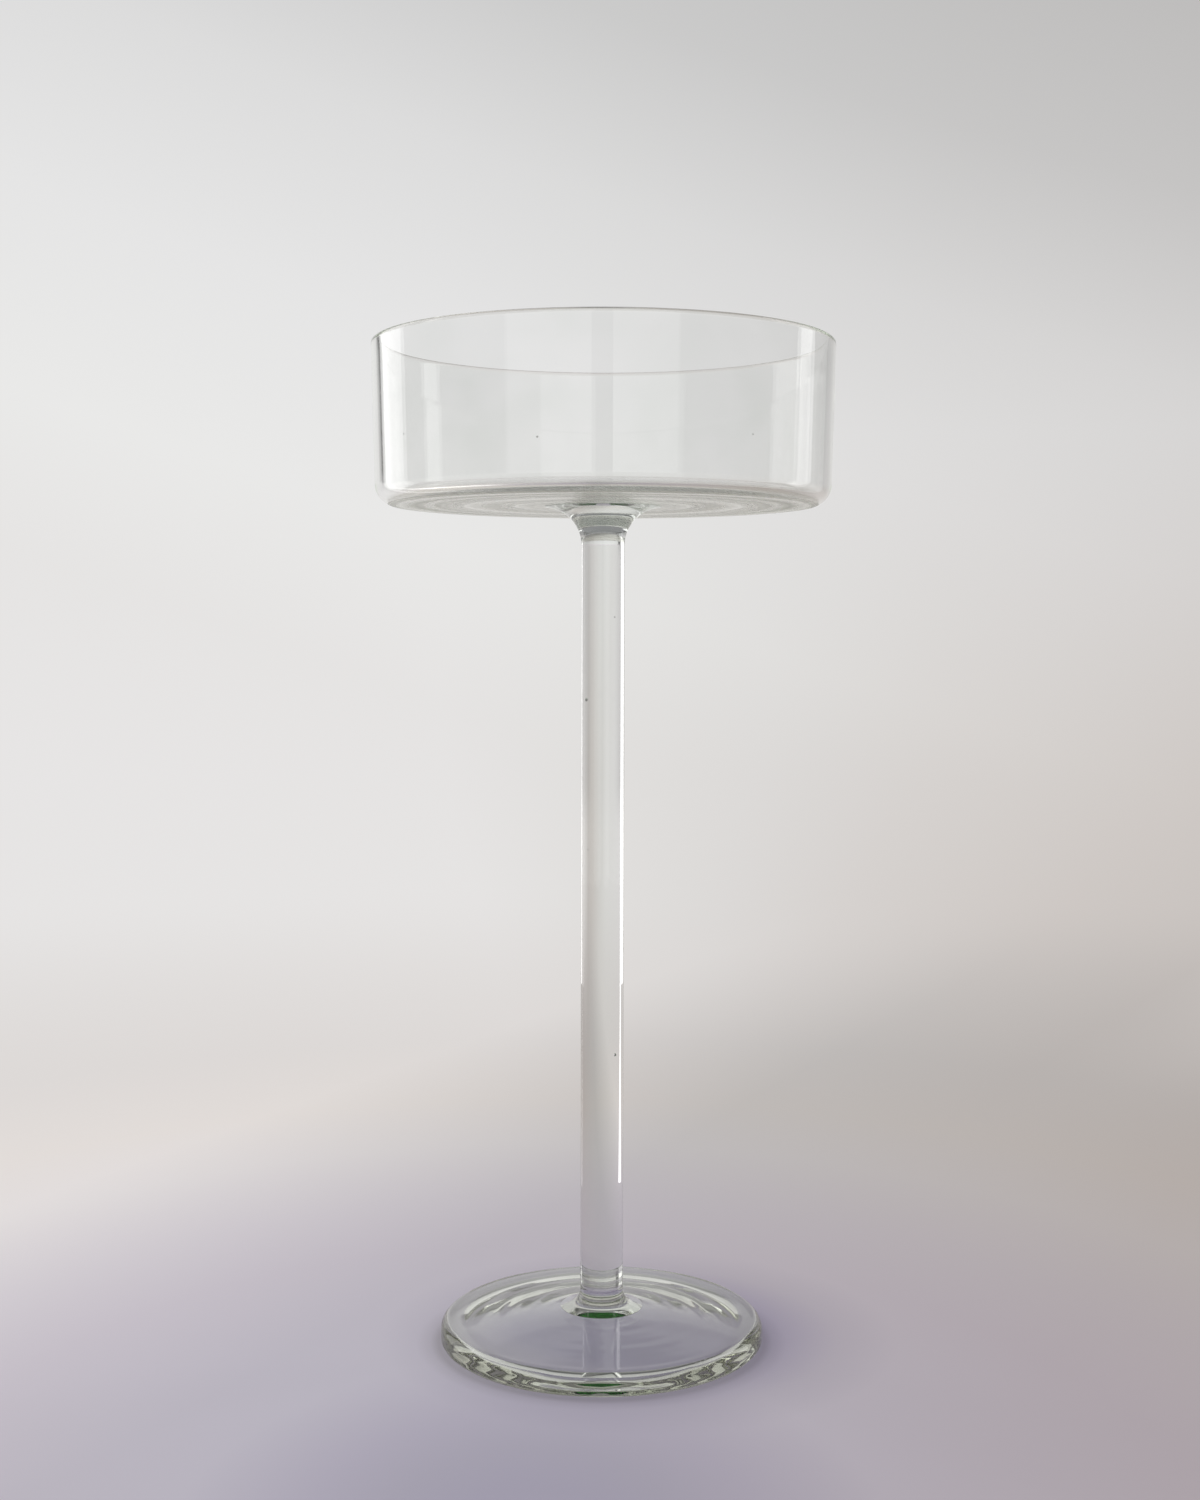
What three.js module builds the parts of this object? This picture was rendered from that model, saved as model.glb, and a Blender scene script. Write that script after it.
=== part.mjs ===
// Stemmed drinking glass: a shallow straight-sided bowl on a tall solid rod stem and a thick disc foot.
// Millimetres, +Z up, origin at the middle of the foot's underside.
// The five pieces are hot glass welded end to end on one axis, so each is a revolved solid that
// meets the next on a flat weld plane.

import * as THREE from 'three';

// Driving dimensions
const OVERALL_HEIGHT = 208;

const BOWL_DIAMETER = 95; // over the rim, its widest line
const BOWL_HEIGHT = 33.3; // from the flat underside to the top of the rim
const BOWL_WALL = 1.8;
const BOWL_FLOOR = 1.8; // thickness of the flat bottom
const BOWL_DRAFT_DEGREES = 1.4; // the wall leans out by this much on its way up
const BOWL_OUTER_CORNER = 4; // rounding between wall and underside
const BOWL_INNER_CORNER = 2.2; // rounding between wall and floor inside, on the same centre

const STEM_DIAMETER = 9;

const BOWL_SEAL_DIAMETER = 24;
const BOWL_SEAL_DEGREES = 10; // slope of the flare where it meets the bowl
const BOWL_SEAL_BEND = 7.5; // radius of the hollow bend from the stem into that slope
const FOOT_SEAL_DIAMETER = 17.2;
const FOOT_SEAL_DEGREES = 16; // slope of the flare where it meets the foot
const FOOT_SEAL_BEND = 3;
const SEAL_LAND = 0.25; // upright edge where a flare ends on its flat

const FOOT_DIAMETER = 68;
const FOOT_EDGE_THICKNESS = 5.1; // to the highest point of the rounded edge
const FOOT_TOP_DEGREES = 5; // slope of the top, which climbs from the edge to the seal
const FOOT_TOP_ROUNDING = 2.2;
const FOOT_BOTTOM_ROUNDING = 1.4;
const FOOT_REST_WIDTH = 3; // flat ring that touches the table
const FOOT_KICK = 4.2; // depth of the shallow dish under the foot

// Fineness of the facets
const TURN_STEPS = 72;
const ARC_STEPS = 3; // each arc gets twice this many chords

// Heights and radii that follow from the driving dimensions
const rimRadius = BOWL_DIAMETER / 2;
const stemRadius = STEM_DIAMETER / 2;
const footRadius = FOOT_DIAMETER / 2;
const draft = THREE.MathUtils.degToRad(BOWL_DRAFT_DEGREES);
const footSlope = THREE.MathUtils.degToRad(FOOT_TOP_DEGREES);
const bowlSealRadius = BOWL_SEAL_DIAMETER / 2;
const bowlSealTurn = THREE.MathUtils.degToRad(90 - BOWL_SEAL_DEGREES); // from upright to the slope
const footSealRadius = FOOT_SEAL_DIAMETER / 2;
const footSealTurn = THREE.MathUtils.degToRad(90 - FOOT_SEAL_DEGREES);

const bowlUnderside = OVERALL_HEIGHT - BOWL_HEIGHT;
const bowlFloorTop = bowlUnderside + BOWL_FLOOR;
const stemTop = bowlUnderside - sealHeight(bowlSealRadius, bowlSealTurn, BOWL_SEAL_BEND);
const footShoulder = footRadius - FOOT_TOP_ROUNDING; // middle of the edge's upper rounding
const footShoulderTop = FOOT_EDGE_THICKNESS - FOOT_TOP_ROUNDING + FOOT_TOP_ROUNDING / Math.cos(footSlope);
const footTop = footShoulderTop + (footShoulder - footSealRadius) * Math.tan(footSlope);
const stemBottom = footTop + sealHeight(footSealRadius, footSealTurn, FOOT_SEAL_BEND);

const DOWN = -Math.PI / 2;
const OUT = 0;
const UP = Math.PI / 2;
const IN = Math.PI;

// Height of a seal: its land, its slope out from the stem's line, and the length that the bend takes up.
function sealHeight(radius, turn, bend) {
  return SEAL_LAND + (radius - stemRadius) / Math.tan(turn) + bend * Math.tan(turn / 2);
}

// Clear soda-lime glass; every piece has a material of its own.
function clearGlass() {
  return new THREE.MeshStandardMaterial({
    color: 0xe3ebe2,
    roughness: 0.03,
    metalness: 0,
    transparent: true,
    opacity: 0.35,
  });
}

// Revolve a profile of (radius, height) about the Z axis. The profile starts and ends on the axis.
function turned(name, profile) {
  const geometry = new THREE.LatheGeometry(profile.getPoints(ARC_STEPS), TURN_STEPS);
  geometry.rotateX(Math.PI / 2);
  const mesh = new THREE.Mesh(geometry, clearGlass());
  mesh.name = name;
  return mesh;
}

// Bowl: flat underside, rounded corner, leaning wall, round fire-polished lip, then the same inside
// at an even thickness.
function bowl() {
  const lipRadius = BOWL_WALL / 2;
  const lipHeight = OVERALL_HEIGHT - lipRadius;
  const lipCentre = rimRadius - lipRadius;
  const outward = new THREE.Vector2(Math.cos(draft), -Math.sin(draft));

  // Radius at which a corner of the given rounding sits so that it runs smoothly into the wall's face.
  function cornerCentre(faceOffset, rounding, height) {
    const faceRadius = lipCentre + faceOffset * outward.x;
    const faceHeight = lipHeight + faceOffset * outward.y;
    return faceRadius + ((height - faceHeight) * Math.sin(draft) - rounding) / Math.cos(draft);
  }

  const outerHeight = bowlUnderside + BOWL_OUTER_CORNER;
  const outerCentre = cornerCentre(lipRadius, BOWL_OUTER_CORNER, outerHeight);
  const innerHeight = bowlFloorTop + BOWL_INNER_CORNER;
  const innerCentre = cornerCentre(-lipRadius, BOWL_INNER_CORNER, innerHeight);

  const profile = new THREE.Path();
  profile.moveTo(0, bowlUnderside);
  profile.lineTo(outerCentre, bowlUnderside);
  profile.absarc(outerCentre, outerHeight, BOWL_OUTER_CORNER, DOWN, -draft, false);
  profile.absarc(lipCentre, lipHeight, lipRadius, -draft, IN - draft, false);
  profile.absarc(innerCentre, innerHeight, BOWL_INNER_CORNER, -draft, DOWN, true);
  profile.lineTo(0, bowlFloorTop);
  return turned('bowl', profile);
}

// Seal under the bowl: the stem's width at the bottom, a hollow bend, then a cone out to the underside.
function bowlSeal() {
  const profile = new THREE.Path();
  profile.moveTo(0, stemTop);
  profile.lineTo(stemRadius, stemTop);
  profile.absarc(stemRadius + BOWL_SEAL_BEND, stemTop, BOWL_SEAL_BEND, IN, IN - bowlSealTurn, true);
  profile.lineTo(bowlSealRadius, bowlUnderside - SEAL_LAND);
  profile.lineTo(bowlSealRadius, bowlUnderside);
  profile.lineTo(0, bowlUnderside);
  return turned('bowl_seal', profile);
}

// Stem: a straight solid rod.
function stem() {
  const profile = new THREE.Path();
  profile.moveTo(0, stemBottom);
  profile.lineTo(stemRadius, stemBottom);
  profile.lineTo(stemRadius, stemTop);
  profile.lineTo(0, stemTop);
  return turned('stem', profile);
}

// Seal on the foot: a low cone that bends up into the stem.
function footSeal() {
  const profile = new THREE.Path();
  profile.moveTo(0, footTop);
  profile.lineTo(footSealRadius, footTop);
  profile.lineTo(footSealRadius, footTop + SEAL_LAND);
  profile.absarc(stemRadius + FOOT_SEAL_BEND, stemBottom, FOOT_SEAL_BEND, IN + footSealTurn, IN, true);
  profile.lineTo(0, stemBottom);
  return turned('foot_seal', profile);
}

// Foot: a thick disc with a shallow dish underneath, a flat ring to stand on, a full rounded edge
// and a top that climbs gently to a flat under the seal.
function foot() {
  const restOuter = footRadius - FOOT_BOTTOM_ROUNDING;
  const restInner = restOuter - FOOT_REST_WIDTH;
  const shoulderHeight = FOOT_EDGE_THICKNESS - FOOT_TOP_ROUNDING;
  const dishRadius = (restInner ** 2 + FOOT_KICK ** 2) / (2 * FOOT_KICK);
  const dishAngle = Math.asin(restInner / dishRadius);

  const profile = new THREE.Path();
  profile.moveTo(0, FOOT_KICK);
  profile.absarc(0, FOOT_KICK - dishRadius, dishRadius, UP, UP - dishAngle, true);
  profile.lineTo(restOuter, 0);
  profile.absarc(restOuter, FOOT_BOTTOM_ROUNDING, FOOT_BOTTOM_ROUNDING, DOWN, OUT, false);
  profile.absarc(footShoulder, shoulderHeight, FOOT_TOP_ROUNDING, OUT, UP - footSlope, false);
  profile.lineTo(footSealRadius, footTop);
  profile.lineTo(0, footTop);
  return turned('foot', profile);
}

const glass = new THREE.Group();
glass.name = 'stemmed_glass';
glass.add(bowl(), bowlSeal(), stem(), footSeal(), foot());

export default glass;
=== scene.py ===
import math

import bmesh
import bpy
from mathutils import Matrix, Vector, noise


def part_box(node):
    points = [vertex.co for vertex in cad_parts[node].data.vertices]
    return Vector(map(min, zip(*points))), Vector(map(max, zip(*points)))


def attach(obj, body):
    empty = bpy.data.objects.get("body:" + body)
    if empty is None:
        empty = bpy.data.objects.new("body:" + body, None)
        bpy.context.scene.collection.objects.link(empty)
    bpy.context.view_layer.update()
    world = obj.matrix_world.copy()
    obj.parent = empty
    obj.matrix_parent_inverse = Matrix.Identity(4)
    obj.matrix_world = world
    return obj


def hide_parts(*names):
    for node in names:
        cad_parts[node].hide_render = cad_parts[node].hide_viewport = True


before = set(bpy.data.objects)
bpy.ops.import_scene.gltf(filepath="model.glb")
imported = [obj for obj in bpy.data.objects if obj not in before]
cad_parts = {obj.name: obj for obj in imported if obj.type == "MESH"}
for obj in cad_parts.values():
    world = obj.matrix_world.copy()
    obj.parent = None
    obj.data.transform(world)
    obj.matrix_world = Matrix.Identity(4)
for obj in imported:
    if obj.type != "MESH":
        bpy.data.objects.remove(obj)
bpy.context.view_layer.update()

MM = 0.001

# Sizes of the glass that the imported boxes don't give
BOWL_WALL = 1.8 * MM
BOWL_FLOOR = 1.8 * MM
BOWL_DRAFT = math.radians(1.4)
BOWL_OUTER_CORNER = 4 * MM
BOWL_INNER_CORNER = 2.2 * MM
BOWL_SEAL_SLOPE = math.radians(10)
BOWL_SEAL_BEND = 7.5 * MM
FOOT_SEAL_SLOPE = math.radians(16)
FOOT_SEAL_BEND = 3 * MM
SEAL_LAND = 0.05 * MM  # upright edge where a flare ends on its flat
FOOT_EDGE_THICKNESS = 5.1 * MM
FOOT_TOP_ROUNDING = 2.2 * MM
FOOT_BOTTOM_ROUNDING = 1.4 * MM
FOOT_REST_WIDTH = 3 * MM
FOOT_KICK = 4.2 * MM  # depth of the dish under the foot
DISH_BEND = 0.95  # share of the dish's flat that is rounded into its slope
WELD_GAP = 0.01 * MM  # left on both sides of a weld, so that no two faces share a plane

# Marks of hot working: shallow rings on the turned faces and dents in the foot's edge
RING_STEP = 0.6 * MM
BOWL_RING = 16 * MM
BOWL_FLOOR_RING = 20.8 * MM
BOWL_RING_DEPTH = 0.06 * MM
FOOT_RING = 5.5 * MM
FOOT_RING_DEPTH = 0.04 * MM
FINE_RING_SHARE = 0.6  # of finer rings among the others, which makes them uneven
FINE_RING_PITCH = 1.7
FINE_RING_PHASE = 1.0
FRONT_SMOOTHING = 0.8  # share of the foot's rings that is smoothed away at the front
FRONT_BLEND = 20 * MM  # length over which that share grows from back to front
DENT_LENGTH = 8 * MM
DENT_HEIGHT = 4 * MM
DENT_DEPTH = 0.35 * MM
DENT_REACH = 3 * MM  # how far in from the foot's edge the dents begin
DENT_BLEND = 2 * MM
DENT_RANGE = 1.5  # the noise that shapes the dents stays within this
FINE_DENT_SHARE = 0.15
FINE_DENT_PITCH = 2.1

# The glass: faint cords all through it, and rings of wear on the bowl's underside
GLASS_INDEX = 1.5
CORD = 20 * MM
CORD_RANGE = (0.3, 0.7)  # of the noise that draws the cords
WORN_RING = 5 * MM
WORN_HEIGHT = 0.3 * MM  # above the bowl's underside
WORN_ROUGHNESS = 0.54
WORN_TINT = "#F7F5EB"

# Bubbles trapped in the glass: x, y, z and radius in millimetres
STEM_SEEDS = [
    (-3.2, -2.6, 135, 0.32),
    (2.6, -3.2, 61.2, 0.3),
    (2.3, -3.3, 152, 0.14),
    (-2.9, -2.9, 104, 0.1),
]
BOWL_SEEDS = [
    (-12.1, -44.4, 184.7, 0.18),
    (-38, -25.9, 187, 0.16),
    (27.7, -36.7, 186, 0.16),
]

# Fineness of the smooth meshes
TURN_STEPS = 240
ARC_STEPS = 20
LONGEST_EDGE = 3 * MM
SMOOTH_ANGLE = math.radians(20)
GLASS_MERGE = 0.0005 * MM
WELD_TOLERANCE = 0.001 * MM  # within which a face counts as lying on a weld
LEVEL_NORMAL = 0.999
SEED_SUBDIVISIONS = 3
SWEEP_TURN_STEPS = 96
SWEEP_ARC_STEPS = 24
SWEEP_MERGE = 0.001 * MM

# Camera, matched to the photograph's perspective
IMAGE_WIDTH = 1200
FOCAL_PIXELS = 1990
SENSOR_WIDTH = 36
CAMERA_DISTANCE = 412.5 * MM
CAMERA_HEIGHT = 149.1 * MM
CAMERA_SIDE = -0.55 * MM
CAMERA_PITCH = 0.0596
CAMERA_ROLL = 0.0019
NEAREST_SEEN = 1 * MM
INNER_REFLECTIONS = 128  # light runs along the stem and inside the foot by many of them

# Studio, in metres; a pair is where a change of tone begins and where it is complete
FLOOR_DROP = 0.00005
FLOOR_FLAT = 1.6
SWEEP = 0.6
WALL_TOP = 2.4
# Middle of the painted shadow round the foot
FOOT_SHADE = (0.008, 0.004, 0)  # middle of the shade around the foot
# Painted shadow on the floor in front of the foot, narrowed across and drawn out to the front
FRONT_SHADE = (-0.012, -0.09)  # middle of the shade in front of the foot
FRONT_SHADE_NARROWING = 1.3
FRONT_SHADE_DRAWING = 0.35  # the smaller, the further the shade is drawn out to the front
FRONT_PLAIN = (-0.08, -0.22)  # towards the front the floor is plain again
# direction along which the painted shade across the floor deepens
ACROSS_FLOOR = (1, -0.5, 0)
UP_WALL = (0.35, 0, 1)
FLOOR_GLOW = 0.97  # where the lamps light the floor too
FAR_FLOOR_GLOW = 1.36  # where they don't
LAMPLIGHT_END = (0.12, 0.36)  # radii
FLOOR_END = (0.15, 0.75)  # radii
BACKDROP_START = (1.0, 1.6)  # radii
LOW_TONE_TOP = 0.4
LOW_TONE_LEAST = 0.35  # share of the low tones that is left above their top
DARK_STRIP_START = (0.24, 0.32)  # heights
LYING_PANEL_HEIGHT = 0.001


def linear(hex_colour):
    """sRGB hex to a linear RGBA colour."""
    channels = [int(hex_colour[i:i + 2], 16) / 255 for i in (1, 3, 5)]
    return [c / 12.92 if c <= 0.04045 else ((c + 0.055) / 1.055) ** 2.4 for c in channels] + [1]


def within(value):
    """A number held between 0 and 1."""
    return min(max(value, 0), 1)


def node(tree, kind, links=None, **settings):
    """Add a node. Settings are its properties; links are its inputs, each a value, an output of
    another node, or a node, which stands for its first output in use."""
    made = tree.nodes.new(kind)
    for name, value in settings.items():
        setattr(made, name, value)
    for socket, value in (links or {}).items():
        if isinstance(value, bpy.types.Node):
            value = next(output for output in value.outputs if output.enabled)
        if isinstance(value, bpy.types.NodeSocket):
            tree.links.new(value, made.inputs[socket])
        else:
            made.inputs[socket].default_value = value
    return made


def tones(tree, measure, stops):
    """Colours along a measure; stops are (measure, hex colour) in rising order."""
    low, high = stops[0][0], stops[-1][0]
    along = node(tree, "ShaderNodeMapRange", {"Value": measure, "From Min": low, "From Max": high})
    made = node(tree, "ShaderNodeValToRGB", {"Fac": along})
    elements = made.color_ramp.elements
    while len(elements) < len(stops):
        elements.new(1.0)
    for element, (at, colour) in zip(elements, stops):
        element.position = (at - low) / (high - low)
        element.color = linear(colour)
    return made


def washed(tree, ground, washes):
    """Colour darkened by washes laid over it, each a colour and its share. A colour mix has its two
    colours in sockets 6 and 7."""
    for colour, share in washes:
        ground = node(
            tree, "ShaderNodeMix", {0: share, 6: ground, 7: colour},
            data_type="RGBA", blend_type="MULTIPLY",
        )
    return ground


def new_material(name):
    """New material, its empty tree, and the place on the piece that its patterns follow."""
    material = bpy.data.materials.new(name)
    material.use_nodes = True
    tree = material.node_tree
    tree.nodes.clear()
    return material, tree, node(tree, "ShaderNodeTexCoord").outputs["Object"]


def wire(mesh, corners, segments):
    """Chain of edges through corners of (radius, height, rounding)."""
    verts = [mesh.verts.new((radius, 0, height)) for radius, height, _ in corners]
    for start, end in zip(verts, verts[1:]):
        mesh.edges.new((start, end))
    for vert, (_, _, rounding) in zip(verts, corners):
        if rounding:
            bmesh.ops.bevel(
                mesh, geom=[vert], offset=rounding, segments=segments, profile=0.5,
                affect="VERTICES", material=-1,
            )


def spin(mesh, steps, merge_distance):
    """Revolve the wire about Z into a skin whose seam and poles are closed."""
    bmesh.ops.spin(
        mesh, geom=mesh.verts[:] + mesh.edges[:], cent=(0, 0, 0), axis=(0, 0, 1),
        angle=math.tau, steps=steps, use_merge=True,
    )
    bmesh.ops.remove_doubles(mesh, verts=mesh.verts, dist=merge_distance)
    bmesh.ops.recalc_face_normals(mesh, faces=mesh.faces)


def smooth_object(name, mesh):
    """Make a finished bmesh an object of the scene."""
    for face in mesh.faces:
        face.smooth = True
    data = bpy.data.meshes.new(name)
    mesh.to_mesh(data)
    mesh.free()
    made = bpy.data.objects.new(name, data)
    bpy.context.scene.collection.objects.link(made)
    return made


def rings(start, end, length, depth):
    """Profile points between two others, with shallow uneven rings that fade out at both ends."""
    count = int((Vector(end) - Vector(start)).length / RING_STEP)
    points = []
    for i in range(1, count):
        along = i / count
        radius, height = Vector(start).lerp(Vector(end), along)
        turn = math.tau * radius / length
        wave = math.sin(turn) + FINE_RING_SHARE * math.sin(FINE_RING_PITCH * turn + FINE_RING_PHASE)
        points.append((radius, height + depth * wave * math.sin(math.pi * along), 0))
    return points


def add_seeds(mesh, seeds):
    """Bubbles, whose skins face the air inside them."""
    for x, y, z, radius in seeds:
        made = bmesh.ops.create_icosphere(
            mesh, subdivisions=SEED_SUBDIVISIONS, radius=radius * MM,
            matrix=Matrix.Translation(Vector((x, y, z)) * MM),
        )
        skin = {face for vert in made["verts"] for face in vert.link_faces}
        bmesh.ops.reverse_faces(mesh, faces=list(skin))


def turned(name, corners, welds, work=None, seeds=()):
    """Revolve a profile of (radius, height, rounding) about Z. Faces on a weld, given as
    (height, radius), carry 1 in the weld attribute. Work moves a point of the finished skin."""
    mesh = bmesh.new()
    wire(mesh, corners, ARC_STEPS)
    for edge in list(mesh.edges):
        cuts = int(edge.calc_length() / LONGEST_EDGE)
        if cuts:
            bmesh.ops.subdivide_edges(mesh, edges=[edge], cuts=cuts)
    spin(mesh, TURN_STEPS, GLASS_MERGE)

    weld = mesh.faces.layers.float.new("weld")
    for face in mesh.faces:
        centre = face.calc_center_median()
        for height, radius in welds:
            on_plane = abs(centre.z - height) < WELD_TOLERANCE and abs(face.normal.z) > LEVEL_NORMAL
            if on_plane and centre.xy.length < radius:
                face[weld] = 1
    for edge in mesh.edges:
        edge.smooth = edge.calc_face_angle(0) < SMOOTH_ANGLE
    if work:
        for vert in mesh.verts:
            vert.co = work(vert.co)
    add_seeds(mesh, seeds)
    return smooth_object(name, mesh)


def worn_rings(tree, place, weld, colour, worn_below):
    """Colour and roughness of a skin that is worn dull in rings below a height, but not on a weld."""
    height = node(tree, "ShaderNodeSeparateXYZ", {"Vector": place}).outputs["Z"]
    level = node(tree, "ShaderNodeVectorMath", {0: place, 1: (1, 1, 0)}, operation="MULTIPLY")
    radius = node(tree, "ShaderNodeVectorMath", {0: level}, operation="LENGTH")
    turn = node(tree, "ShaderNodeMath", {0: radius, 1: 1 / WORN_RING}, operation="MULTIPLY")
    wear = node(tree, "ShaderNodeTexNoise", {"W": turn, "Scale": 1.0, "Detail": 3.0}, noise_dimensions="1D")
    below = node(tree, "ShaderNodeMath", {0: height, 1: worn_below}, operation="LESS_THAN")
    worn = node(tree, "ShaderNodeMath", {0: below, 1: weld}, operation="SUBTRACT", use_clamp=True)
    dull = node(tree, "ShaderNodeMath", {0: wear, 1: worn}, operation="MULTIPLY")
    roughness = node(tree, "ShaderNodeMath", {0: dull, 1: WORN_ROUGHNESS}, operation="MULTIPLY")
    return washed(tree, colour, [(linear(WORN_TINT), worn)]), roughness


def clear_glass(name, ripple, depth, tint, density, face=("#FFFFFF", "#FAFBFA"), worn_below=None):
    """Soda-lime glass. Its face is clear but for faint cords and a slight ripple, its body is tinted
    through its length, and on a weld it bends no light."""
    material, tree, place = new_material(name)
    weld = node(tree, "ShaderNodeAttribute", attribute_name="weld").outputs["Fac"]
    cords = node(
        tree, "ShaderNodeTexNoise", {"Vector": place, "Scale": 1 / CORD, "Detail": 2.0, "Distortion": 1.0},
    )
    colour = tones(tree, cords, list(zip(CORD_RANGE, face)))
    roughness = 0.0
    if worn_below:
        colour, roughness = worn_rings(tree, place, weld, colour, worn_below)
    waves = node(
        tree, "ShaderNodeTexNoise", {"Vector": place, "Scale": 1 / ripple, "Detail": 2.0, "Roughness": 0.4},
    )
    shader = node(
        tree, "ShaderNodeBsdfPrincipled",
        {
            "Base Color": colour,
            "Roughness": roughness,
            "Transmission Weight": 1.0,
            "IOR": node(tree, "ShaderNodeMapRange", {"Value": weld, "To Min": GLASS_INDEX, "To Max": 1.0}),
            "Normal": node(tree, "ShaderNodeBump", {"Height": waves, "Distance": depth, "Strength": 1.0}),
        },
    )
    body = node(tree, "ShaderNodeVolumeAbsorption", {"Color": linear(tint), "Density": density})
    node(tree, "ShaderNodeOutputMaterial", {"Surface": shader, "Volume": body})
    return material


def finish_piece(piece, material, cad_node):
    """Give a piece its glass, hang it under the root body, and hide the solid that it stands for."""
    piece.data.materials.append(material)
    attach(piece, "root")
    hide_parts(cad_node)


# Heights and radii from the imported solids
bowl_low, bowl_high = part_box("bowl")
stem_low, stem_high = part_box("stem")
bowl_seal_low, bowl_seal_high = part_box("bowl_seal")
foot_seal_low, foot_seal_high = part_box("foot_seal")
_, foot_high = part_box("foot")


def make_bowl():
    """Shallow drum with a flat underside, a leaning wall and a round lip."""
    rim, top = bowl_high.x, bowl_high.z
    underside = bowl_low.z + WELD_GAP
    floor_top = bowl_low.z + BOWL_FLOOR
    seal = bowl_seal_high.x
    lean = math.tan(BOWL_DRAFT)
    outer_base = rim - lean * (top - underside)
    flat_end = outer_base - BOWL_OUTER_CORNER
    inner_rim = rim - BOWL_WALL
    inner_base = inner_rim - lean * (top - floor_top)
    floor_end = inner_base - BOWL_INNER_CORNER
    lip = BOWL_WALL / 2
    return turned(
        "clear_bowl",
        [
            (0, underside, 0),
            (seal, underside, 0),
            *rings((seal, underside), (flat_end, underside), BOWL_RING, BOWL_RING_DEPTH),
            (outer_base, underside, BOWL_OUTER_CORNER),
            (rim, top, lip),
            (inner_rim, top, lip),
            (inner_base, floor_top, BOWL_INNER_CORNER),
            *rings((floor_end, floor_top), (0, floor_top), BOWL_FLOOR_RING, BOWL_RING_DEPTH),
            (0, floor_top, 0),
        ],
        [(underside, seal)],
        seeds=BOWL_SEEDS,
    )


def seal_bend(slope, bend):
    """Length that a seal's hollow bend takes up on each side of its corner, less the gaps at its welds."""
    return bend * math.tan((math.pi / 2 - slope) / 2) - 2 * WELD_GAP


def make_bowl_seal():
    """Collar that flares from the stem out to the bowl's underside."""
    radius, edge = stem_high.x, bowl_seal_high.x
    low, high = bowl_seal_low.z + WELD_GAP, bowl_seal_high.z - WELD_GAP
    land = high - SEAL_LAND
    corner = land - (edge - radius) * math.tan(BOWL_SEAL_SLOPE)
    return turned(
        "bowl_weld",
        [
            (0, low, 0),
            (radius, low, 0),
            (radius, corner, seal_bend(BOWL_SEAL_SLOPE, BOWL_SEAL_BEND)),
            (edge, land, 0),
            (edge, high, 0),
            (0, high, 0),
        ],
        [(low, radius), (high, edge)],
    )


def make_stem():
    """Straight solid rod."""
    radius = stem_high.x
    low, high = stem_low.z + WELD_GAP, stem_high.z - WELD_GAP
    return turned(
        "stem_rod",
        [(0, low, 0), (radius, low, 0), (radius, high, 0), (0, high, 0)],
        [(low, radius), (high, radius)],
        seeds=STEM_SEEDS,
    )


def make_foot_seal():
    """Low collar that bends up from the foot into the stem."""
    radius, edge = stem_high.x, foot_seal_high.x
    low, high = foot_seal_low.z + WELD_GAP, foot_seal_high.z - WELD_GAP
    land = low + SEAL_LAND
    corner = land + (edge - radius) * math.tan(FOOT_SEAL_SLOPE)
    return turned(
        "foot_weld",
        [
            (0, low, 0),
            (edge, low, 0),
            (edge, land, 0),
            (radius, corner, seal_bend(FOOT_SEAL_SLOPE, FOOT_SEAL_BEND)),
            (radius, high, 0),
            (0, high, 0),
        ],
        [(low, edge), (high, radius)],
    )


def work_foot(point):
    """Press the foot's edge inward by an uneven amount; the standing ring stays flat. The rings of its
    top are smoothed towards the front."""
    reach = within((point.xy.length - foot_high.x + DENT_REACH) / DENT_BLEND)
    place = Vector((point.x / DENT_LENGTH, point.y / DENT_LENGTH, point.z / DENT_HEIGHT))
    swell = noise.noise(place) + FINE_DENT_SHARE * noise.noise(FINE_DENT_PITCH * place)
    press = reach * DENT_DEPTH * (swell + DENT_RANGE) / (2 * DENT_RANGE)
    moved = Vector(point) - press * Vector((point.x, point.y, 0)).normalized()

    shoulder = foot_high.x - FOOT_TOP_ROUNDING
    along = (shoulder - point.xy.length) / (shoulder - foot_seal_high.x)
    if 0 < along < 1 and point.z > FOOT_EDGE_THICKNESS - 2 * FOOT_RING_DEPTH:
        straight = FOOT_EDGE_THICKNESS + (foot_high.z - WELD_GAP - FOOT_EDGE_THICKNESS) * along
        front = within(0.5 - point.y / FRONT_BLEND)
        moved.z += (straight - point.z) * FRONT_SMOOTHING * front
    return moved


def make_foot():
    """Thick disc with a flat ring to stand on and a shallow dish inside it."""
    radius, seal, top = foot_high.x, foot_seal_high.x, foot_high.z - WELD_GAP
    shoulder = radius - FOOT_TOP_ROUNDING
    rest_inner = radius - FOOT_BOTTOM_ROUNDING - FOOT_REST_WIDTH
    dish_flat = rest_inner / 2
    return turned(
        "disc_foot",
        [
            (0, FOOT_KICK, 0),
            (dish_flat, FOOT_KICK, DISH_BEND * dish_flat),
            (rest_inner, 0, 0),
            (radius, 0, FOOT_BOTTOM_ROUNDING),
            (radius, FOOT_EDGE_THICKNESS, FOOT_TOP_ROUNDING),
            *rings((shoulder, FOOT_EDGE_THICKNESS), (seal, top), FOOT_RING, FOOT_RING_DEPTH),
            (seal, top, 0),
            (0, top, 0),
        ],
        [(top, seal)],
        work=work_foot,
    )


# Blown glass: all but colourless through its thin wall, with a dull grey underside
blown_glass = clear_glass(
    "blown_soda_lime", ripple=14 * MM, depth=0.01 * MM, tint="#96CF68", density=2.5,
    face=("#FEFEFE", "#F9FAF9"), worn_below=bowl_low.z + WORN_HEIGHT,
)
# Welded glass: bright and clear, faintly green where it is thickest
bowl_seal_glass = clear_glass(
    "welded_soda_lime", ripple=8 * MM, depth=0.01 * MM, tint="#59D34F", density=3,
)
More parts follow.
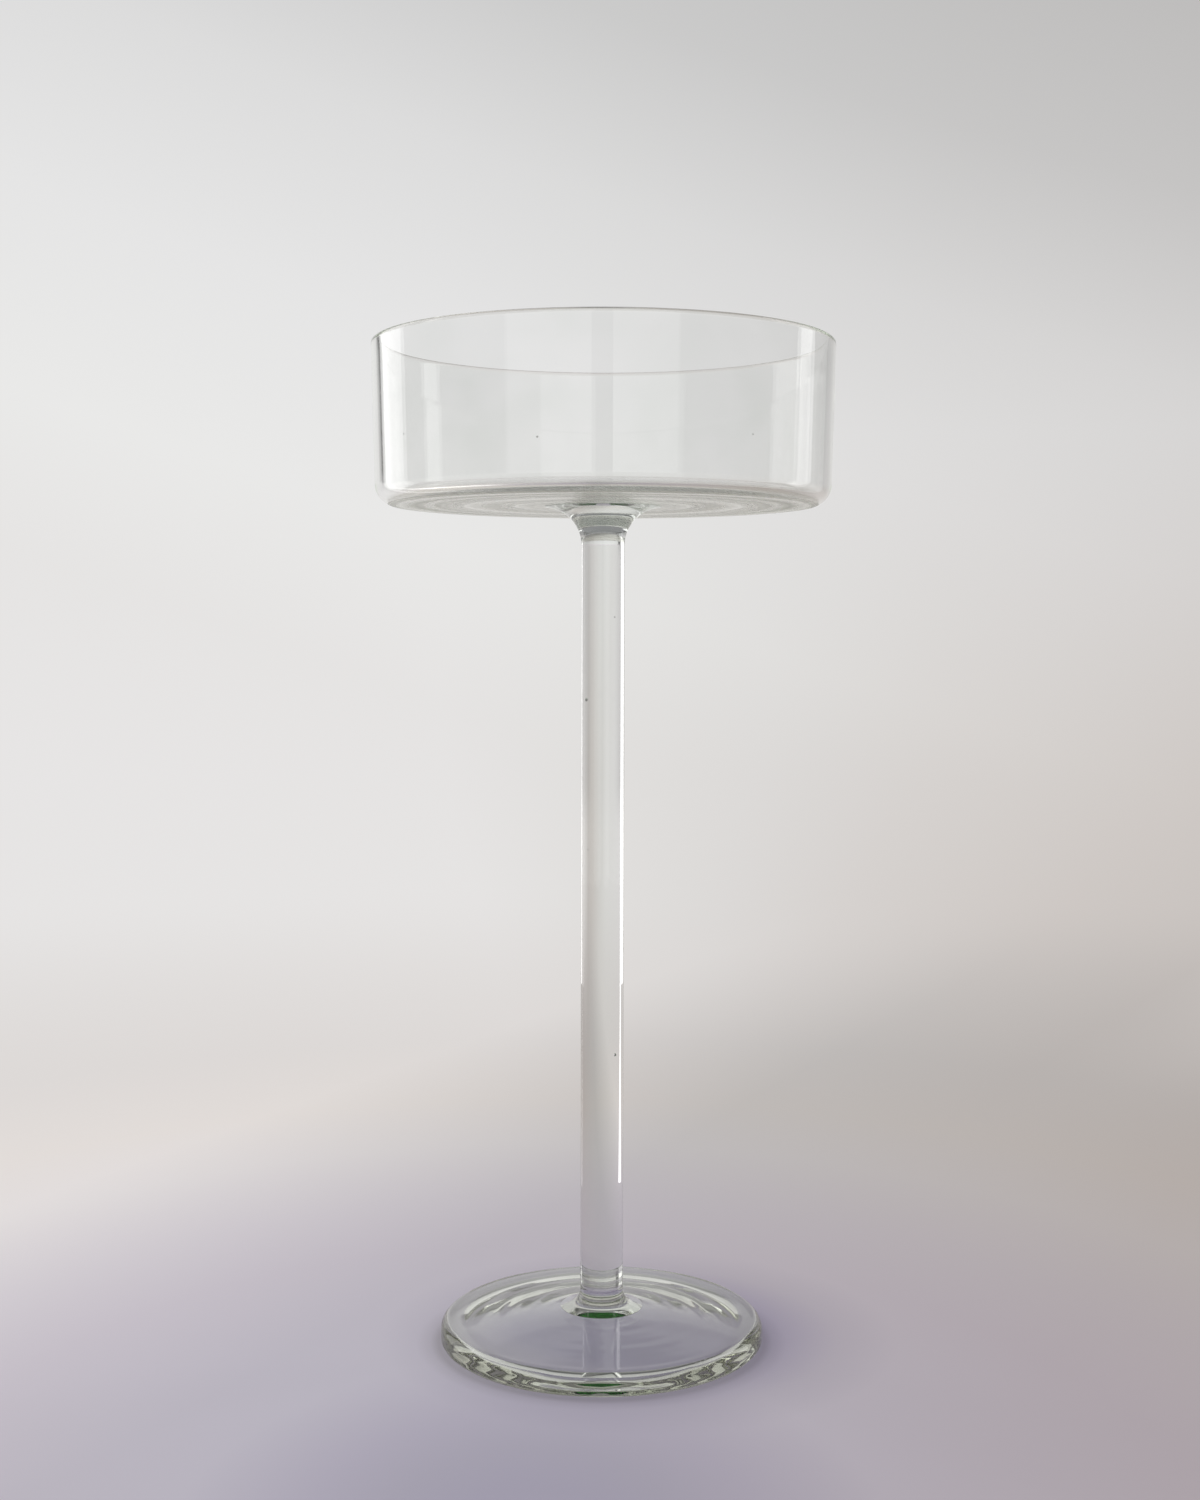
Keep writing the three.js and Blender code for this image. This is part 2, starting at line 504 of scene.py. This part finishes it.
# Drawn glass: tinted most, for the green seen along the rod; its rosy face keeps it neutral across
drawn_glass = clear_glass(
    "drawn_soda_lime", ripple=12 * MM, depth=0.005 * MM, tint="#7CCD6C", density=20,
    face=("#FFF8FF", "#FDF6FD"),
)
# Welded glass on the foot: the same as under the bowl
foot_seal_glass = clear_glass(
    "welded_soda_lime_foot", ripple=8 * MM, depth=0.01 * MM, tint="#59D34F", density=3,
)
# Pressed glass: clear from above, dark olive where the eye looks in at its edge
pressed_glass = clear_glass(
    "pressed_soda_lime", ripple=6 * MM, depth=0.018 * MM, tint="#A8AC8A", density=15,
    face=("#FDFFFB", "#F8FBF5"),
)

finish_piece(make_bowl(), blown_glass, "bowl")
finish_piece(make_bowl_seal(), bowl_seal_glass, "bowl_seal")
finish_piece(make_stem(), drawn_glass, "stem")
finish_piece(make_foot_seal(), foot_seal_glass, "foot_seal")
finish_piece(make_foot(), pressed_glass, "foot")


def make_sweep():
    """Pale floor that curves up into a wall all round."""
    mesh = bmesh.new()
    wall = FLOOR_FLAT + SWEEP
    wire(mesh, [(0, -FLOOR_DROP, 0), (wall, -FLOOR_DROP, SWEEP), (wall, WALL_TOP, 0)], SWEEP_ARC_STEPS)
    spin(mesh, SWEEP_TURN_STEPS, SWEEP_MERGE)
    sweep = smooth_object("sweep", mesh)
    return sweep


def floor_colour_and_painted_shade(tree, place, axes, level, radius):
    """Painted lavender-grey shadow under the glass and in front of it, with painted shade to the right and
    along the foot's edge; further off, the floor's own warm pale grey.
    """
    # The painted shadow in front of the foot is narrow, and drawn out beyond its middle; further off the
    # same measure gives the floor's own pale tones
    middle_x, middle_y = FRONT_SHADE
    narrow = node(tree, "ShaderNodeMath", {0: axes["X"], 1: FRONT_SHADE_NARROWING}, operation="MULTIPLY")
    held = (1 - FRONT_SHADE_DRAWING) * middle_y
    drawn = node(
        tree, "ShaderNodeMath", {0: axes["Y"], 1: FRONT_SHADE_DRAWING, 2: held}, operation="MULTIPLY_ADD",
    )
    ahead = node(tree, "ShaderNodeMath", {0: axes["Y"], 1: drawn}, operation="MAXIMUM")
    shaded = node(tree, "ShaderNodeCombineXYZ", {"X": narrow, "Y": ahead})
    near = node(
        tree, "ShaderNodeVectorMath", {0: shaded, 1: (FRONT_SHADE_NARROWING * middle_x, middle_y, 0)},
        operation="DISTANCE",
    )
    front_shade = tones(tree, near, [
        (0.0, "#A9A6B7"), (0.018, "#A9A6B7"), (0.033, "#ACA9B8"), (0.05, "#B2AEBD"), (0.08, "#BEBAC5"),
        (0.155, "#BDB7BF"), (0.195, "#BFBABF"), (0.25, "#C3BFBF"), (0.305, "#C3BEBB"), (0.4, "#BFBBB9"),
    ])
    front = node(
        tree, "ShaderNodeMapRange",
        {"Value": axes["Y"], "From Min": FRONT_PLAIN[0], "From Max": FRONT_PLAIN[1]},
        interpolation_type="SMOOTHSTEP",
    )
    ground = node(
        tree, "ShaderNodeMix", {0: front, 6: front_shade, 7: linear("#C4C1C4")}, data_type="RGBA",
    )

    # Painted shade, as of light from the left: the floor darkens towards the right and the front
    across = node(tree, "ShaderNodeVectorMath", {0: place, 1: ACROSS_FLOOR}, operation="DOT_PRODUCT")
    right_shade = tones(tree, across, [
        (-0.2, "#FFFFFF"), (-0.06, "#DADADA"), (0.1, "#CECAC8"), (0.2, "#C8C3C1"),
    ])
    # Painted shadow round the foot, lavender under the glass and deepest just right of its middle
    around = node(tree, "ShaderNodeVectorMath", {0: level, 1: FOOT_SHADE}, operation="DISTANCE")
    foot_shade = tones(tree, around, [
        (0.026, "#D8D7E6"), (0.032, "#E3E2EC"), (0.042, "#F4F4F6"), (0.055, "#FFFFFF"),
    ])
    # Thin painted shadow where the foot's rounded edge nears the floor
    edge_shade = tones(tree, radius, [
        (0.027, "#FFFFFF"), (0.031, "#EAEAE8"), (0.0343, "#DEDEDB"), (0.036, "#F4F4F3"), (0.039, "#FFFFFF"),
    ])
    return washed(tree, ground, [(right_shade, 1.0), (foot_shade, 1.0), (edge_shade, 1.0)])


def wall_colour(tree, place, axes, radius):
    """Pale grey, darker at the top, at the sides and in front; bearings are in radians from the back."""
    bearing = node(tree, "ShaderNodeMath", {0: axes["X"], 1: axes["Y"]}, operation="ARCTAN2")
    upward = node(tree, "ShaderNodeVectorMath", {0: place, 1: UP_WALL}, operation="DOT_PRODUCT")
    ground = tones(tree, upward, [
        (-0.3, "#E9E8E8"), (0.0, "#E7E6E5"), (0.194, "#EAEAE9"), (0.453, "#E6E6E6"), (0.711, "#DDDDDD"),
        (0.948, "#CDCDCD"), (1.23, "#C4C4C4"), (1.3, "#8C8C8C"), (1.45, "#606060"), (1.6, "#606060"),
        (1.8, "#8A8A8A"),
    ])
    backdrop_tone = tones(tree, bearing, [
        (-3.15, "#CECECE"), (-1.9, "#C8C8C8"), (-1.5, "#D4D4D4"), (-1.15, "#E6E6E6"), (-0.72, "#E6E6E6"),
        (-0.54, "#F4F4F4"), (-0.38, "#FFFFFF"), (0.38, "#FFFFFF"), (0.5, "#F4F4F4"), (0.7, "#F0F0F0"),
        (1.05, "#EAEAEA"), (1.3, "#FFFFFF"), (1.55, "#FFFFFF"), (1.9, "#DEDEDE"), (3.15, "#CECECE"),
    ])
    far = node(
        tree, "ShaderNodeMapRange",
        {"Value": radius, "From Min": BACKDROP_START[0], "From Max": BACKDROP_START[1]},
        interpolation_type="SMOOTHSTEP",
    )
    low_tone = tones(tree, bearing, [
        (-3.15, "#F0EEED"), (-1.9, "#FFFFFF"), (-0.1, "#FDFCFC"), (0.0, "#F8F7F6"), (0.1, "#F2F0EF"),
        (0.2, "#EBE7E5"), (0.36, "#E2DCD9"), (0.52, "#DAD4D1"), (0.64, "#EAE6E4"), (0.78, "#EEEAE8"),
        (1.2, "#C0BAB8"), (1.9, "#C0BAB8"), (3.15, "#F0EEED"),
    ])
    low = node(
        tree, "ShaderNodeMapRange",
        {"Value": axes["Z"], "From Max": LOW_TONE_TOP, "To Min": 1.0, "To Max": LOW_TONE_LEAST},
    )
    # Upright grey strip at the back left, which draws the dark line down the bowl's left wall
    dark_strip = tones(tree, bearing, [
        (-0.72, "#FFFFFF"), (-0.66, "#7A7A7A"), (-0.6, "#747474"), (-0.54, "#FFFFFF"),
    ])
    high = node(
        tree, "ShaderNodeMapRange",
        {"Value": axes["Z"], "From Min": DARK_STRIP_START[0], "From Max": DARK_STRIP_START[1]},
    )
    return washed(tree, ground, [(backdrop_tone, far), (low_tone, low), (dark_strip, high)])


def studio_paper():
    """Matt paper that glows with its own colour: near the glass lamps light it as well, further off it only
    glows, evenly.
    """
    material, tree, place = new_material("studio_paper")
    axes = node(tree, "ShaderNodeSeparateXYZ", {"Vector": place}).outputs
    level = node(tree, "ShaderNodeVectorMath", {0: place, 1: (1, 1, 0)}, operation="MULTIPLY")
    radius = node(tree, "ShaderNodeVectorMath", {0: level}, operation="LENGTH")
    floor = floor_colour_and_painted_shade(tree, place, axes, level, radius)
    wall = wall_colour(tree, place, axes, radius)

    matt = node(tree, "ShaderNodeBsdfDiffuse", {"Color": floor})
    glow = node(tree, "ShaderNodeEmission", {"Color": floor, "Strength": FLOOR_GLOW})
    lamplit = node(tree, "ShaderNodeAddShader", {0: matt, 1: glow})
    even_floor = node(tree, "ShaderNodeEmission", {"Color": floor, "Strength": FAR_FLOOR_GLOW})
    even_wall = node(tree, "ShaderNodeEmission", {"Color": wall})
    rise = node(
        tree, "ShaderNodeMapRange",
        {"Value": radius, "From Min": FLOOR_END[0], "From Max": FLOOR_END[1]},
        interpolation_type="SMOOTHSTEP",
    )
    even = node(tree, "ShaderNodeMixShader", {0: rise, 1: even_floor, 2: even_wall})
    beyond = node(
        tree, "ShaderNodeMapRange",
        {"Value": radius, "From Min": LAMPLIGHT_END[0], "From Max": LAMPLIGHT_END[1]},
        interpolation_type="SMOOTHSTEP",
    )
    paper = node(tree, "ShaderNodeMixShader", {0: beyond, 1: lamplit, 2: even})
    node(tree, "ShaderNodeOutputMaterial", {"Surface": paper})
    return material


def soft_panel(name, place, rotation, width, tall, radiance):
    """Soft lamp of a size and brightness; unturned, it shines down."""
    light = bpy.data.lights.new(name, "AREA")
    light.shape = "RECTANGLE"
    light.size = width
    light.size_y = tall
    light.energy = radiance * math.pi * width * tall
    lamp = bpy.data.objects.new(name, light)
    bpy.context.scene.collection.objects.link(lamp)
    lamp.location = place
    lamp.rotation_euler = rotation


def outward(bearing):
    """Level direction at a bearing in degrees from the back of the set, to the right."""
    angle = math.radians(bearing)
    return Vector((math.sin(angle), math.cos(angle), 0))


def standing_panel(name, bearing, distance, height, width, tall, radiance):
    """Upright lamp facing the stem."""
    out = outward(bearing)
    rotation = (-out).to_track_quat("-Z", "Y").to_euler()
    soft_panel(name, out * distance + Vector((0, 0, height)), rotation, width, tall, radiance)


def lying_panel(name, bearing, start, end, width, radiance):
    """Strip lamp on the floor that runs outward from the foot and shines up."""
    middle = outward(bearing) * (start + end) / 2 + Vector((0, 0, LYING_PANEL_HEIGHT))
    rotation = (math.pi, 0, -math.radians(bearing))
    soft_panel(name, middle, rotation, width, end - start, radiance)


make_sweep().data.materials.append(studio_paper())
# Strips at the sides and one on the floor draw bright lines in the glass; panels in front fill it softly
standing_panel("left_strip", -57, distance=0.42, height=0.3, width=0.19, tall=0.6, radiance=0.95)
standing_panel("right_strip", 68, distance=0.42, height=0.3, width=0.1, tall=0.6, radiance=1.2)
standing_panel("front_left", 206, distance=0.75, height=0.25, width=0.56, tall=0.5, radiance=0.5)
standing_panel("front_right", 160, distance=0.75, height=0.25, width=0.42, tall=0.5, radiance=0.5)
lying_panel("left_floor", -46, start=0.115, end=0.42, width=0.03, radiance=1.0)

scene = bpy.context.scene
scene.world = bpy.data.worlds.new("room")
scene.world.use_nodes = True
scene.world.node_tree.nodes["Background"].inputs["Color"].default_value = linear("#8A8A8C")

camera = bpy.data.objects.new("camera", bpy.data.cameras.new("camera"))
scene.collection.objects.link(camera)
camera.data.sensor_fit = "HORIZONTAL"
camera.data.sensor_width = SENSOR_WIDTH
camera.data.lens = SENSOR_WIDTH * FOCAL_PIXELS / IMAGE_WIDTH
camera.data.clip_start = NEAREST_SEEN
camera.matrix_world = (
    Matrix.Translation((CAMERA_SIDE, -CAMERA_DISTANCE, CAMERA_HEIGHT))
    @ Matrix.Rotation(math.pi / 2 - CAMERA_PITCH, 4, "X")
    @ Matrix.Rotation(CAMERA_ROLL, 4, "Z")
)
scene.camera = camera

scene.view_settings.view_transform = "Standard"
scene.cycles.max_bounces = INNER_REFLECTIONS
scene.cycles.transmission_bounces = INNER_REFLECTIONS
scene.cycles.glossy_bounces = INNER_REFLECTIONS
